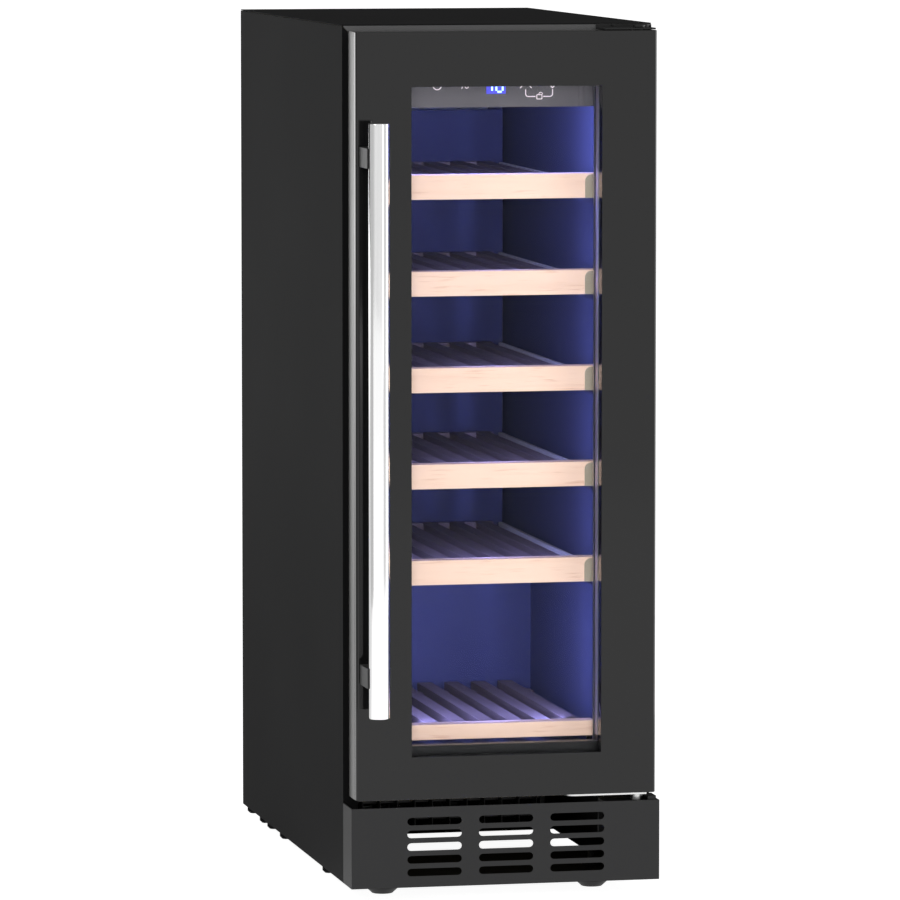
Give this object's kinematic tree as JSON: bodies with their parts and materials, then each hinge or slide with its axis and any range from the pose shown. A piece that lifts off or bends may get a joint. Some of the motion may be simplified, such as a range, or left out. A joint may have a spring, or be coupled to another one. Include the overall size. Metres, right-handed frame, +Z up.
{
  "type": "wine cooler",
  "caption": "Narrow under-counter wine cooler with a glazed hinged door, bar handle, pull-out wooden shelves, slotted kickplate and a compressor cooling unit.",
  "frame": {"origin": "middle of the base of the overall box, on the floor between the levelling feet", "axes": "+Z up, -Y towards the door and handle, +X to the right as seen from the front, where the door's hinges are"},
  "size_m": [0.295, 0.6178, 0.82],
  "materials": {
    "black_steel": "satin",
    "door_black": "satin",
    "satin_grey": "satin",
    "bright_steel": "polished",
    "galvanised": "satin",
    "liner_plastic": "satin",
    "foam": "matte",
    "grey_plastic": "satin",
    "black_plastic": "satin",
    "beech": "satin",
    "clear_glass": "polished",
    "rubber_black": "matte",
    "copper": "satin",
    "board_green": "satin",
    "lamp_white": "gloss",
    "compressor_shell": "gloss"
  },
  "bodies": {
    "cabinet": {"side_panel_left": "black_steel", "side_panel_right": "black_steel", "top_panel": "black_steel", "rear_grille": "black_steel", "base_pan": "black_steel", "kickplate": "black_steel", "top_hinge_bracket": "black_steel", "bottom_hinge_bracket": "black_steel", "back_panel": "galvanised", "evaporator_plate": "galvanised", "compressor_bracket": "galvanised", "rear_spacer_left": "black_plastic", "rear_spacer_right": "black_plastic", "circulation_fan_frame": "black_plastic", "condenser_fan_frame": "black_plastic", "drip_tray": "black_plastic", "electrical_box": "black_plastic", "power_inlet": "black_plastic", "inner_liner": "liner_plastic", "evaporator_cover": "liner_plastic", "insulation_foam": "foam", "control_panel": "grey_plastic", "control_board": "board_green", "led_strip": "lamp_white", "compressor": "compressor_shell", "drier_filter": "copper", "suction_line": "copper", "condenser_coil": "black_steel", "bottom_shelf_rack": "beech", "top_hinge_pin": "bright_steel", "bottom_hinge_pin": "bright_steel"},
    "door": {"door_frame": "satin_grey", "door_front_panel": "door_black", "glass_outer": "clear_glass", "glass_inner": "clear_glass", "glass_spacer": "satin_grey", "door_gasket": "rubber_black", "handle_bar": "bright_steel", "handle_post_upper": "black_steel", "handle_post_lower": "black_steel", "door_hinge_plate": "bright_steel", "door_bush_top": "black_plastic", "door_bush_bottom": "black_plastic"},
    "shelf_1": {"shelf_1_rack": "beech", "shelf_1_runners": "grey_plastic"},
    "shelf_2": {"shelf_2_rack": "beech", "shelf_2_runners": "grey_plastic"},
    "shelf_3": {"shelf_3_rack": "beech", "shelf_3_runners": "grey_plastic"},
    "shelf_4": {"shelf_4_rack": "beech", "shelf_4_runners": "grey_plastic"},
    "shelf_5": {"shelf_5_rack": "beech", "shelf_5_runners": "grey_plastic"},
    "circulation_fan": {"circulation_fan_rotor": "black_plastic"},
    "condenser_fan": {"condenser_fan_rotor": "black_plastic"},
    "foot_front_left": {"levelling_foot_front_left": "black_plastic"},
    "foot_front_right": {"levelling_foot_front_right": "black_plastic"},
    "foot_rear_left": {"levelling_foot_rear_left": "black_plastic"},
    "foot_rear_right": {"levelling_foot_rear_right": "black_plastic"}
  },
  "joints": [
    {"name": "door_swing", "type": "hinge", "parent": "cabinet", "child": "door", "pos_m": [0.1295, -0.24413, 0.1], "axis": [0, 0, 1], "range_deg": [0, 120]},
    {"name": "shelf_1_slide", "type": "slide", "parent": "cabinet", "child": "shelf_1", "axis": [0, -1, 0], "range_m": [0, 0.06]},
    {"name": "shelf_2_slide", "type": "slide", "parent": "cabinet", "child": "shelf_2", "axis": [0, -1, 0], "range_m": [0, 0.06]},
    {"name": "shelf_3_slide", "type": "slide", "parent": "cabinet", "child": "shelf_3", "axis": [0, -1, 0], "range_m": [0, 0.06]},
    {"name": "shelf_4_slide", "type": "slide", "parent": "cabinet", "child": "shelf_4", "axis": [0, -1, 0], "range_m": [0, 0.06]},
    {"name": "shelf_5_slide", "type": "slide", "parent": "cabinet", "child": "shelf_5", "axis": [0, -1, 0], "range_m": [0, 0.06]},
    {"name": "circulation_fan_spin", "type": "hinge", "parent": "cabinet", "child": "circulation_fan", "pos_m": [-0.06, 0.24338, 0.6], "axis": [0, 1, 0], "continuous": true},
    {"name": "condenser_fan_spin", "type": "hinge", "parent": "cabinet", "child": "condenser_fan", "pos_m": [0, 0.12187, 0.057], "axis": [0, 1, 0], "continuous": true},
    {"name": "foot_front_left_screw", "type": "slide", "parent": "cabinet", "child": "foot_front_left", "axis": [0, 0, -1], "range_m": [0, 0.015]},
    {"name": "foot_front_right_screw", "type": "slide", "parent": "cabinet", "child": "foot_front_right", "axis": [0, 0, -1], "range_m": [0, 0.015]},
    {"name": "foot_rear_left_screw", "type": "slide", "parent": "cabinet", "child": "foot_rear_left", "axis": [0, 0, -1], "range_m": [0, 0.015]},
    {"name": "foot_rear_right_screw", "type": "slide", "parent": "cabinet", "child": "foot_rear_right", "axis": [0, 0, -1], "range_m": [0, 0.015]}
  ],
  "couplings": [
    {"joint": "shelf_1_slide", "follows": "door_swing", "m_per_rad": 0.02864},
    {"joint": "shelf_2_slide", "follows": "door_swing", "m_per_rad": 0.02864},
    {"joint": "shelf_3_slide", "follows": "door_swing", "m_per_rad": 0.02864},
    {"joint": "shelf_4_slide", "follows": "door_swing", "m_per_rad": 0.02864},
    {"joint": "shelf_5_slide", "follows": "door_swing", "m_per_rad": 0.02864}
  ]
}
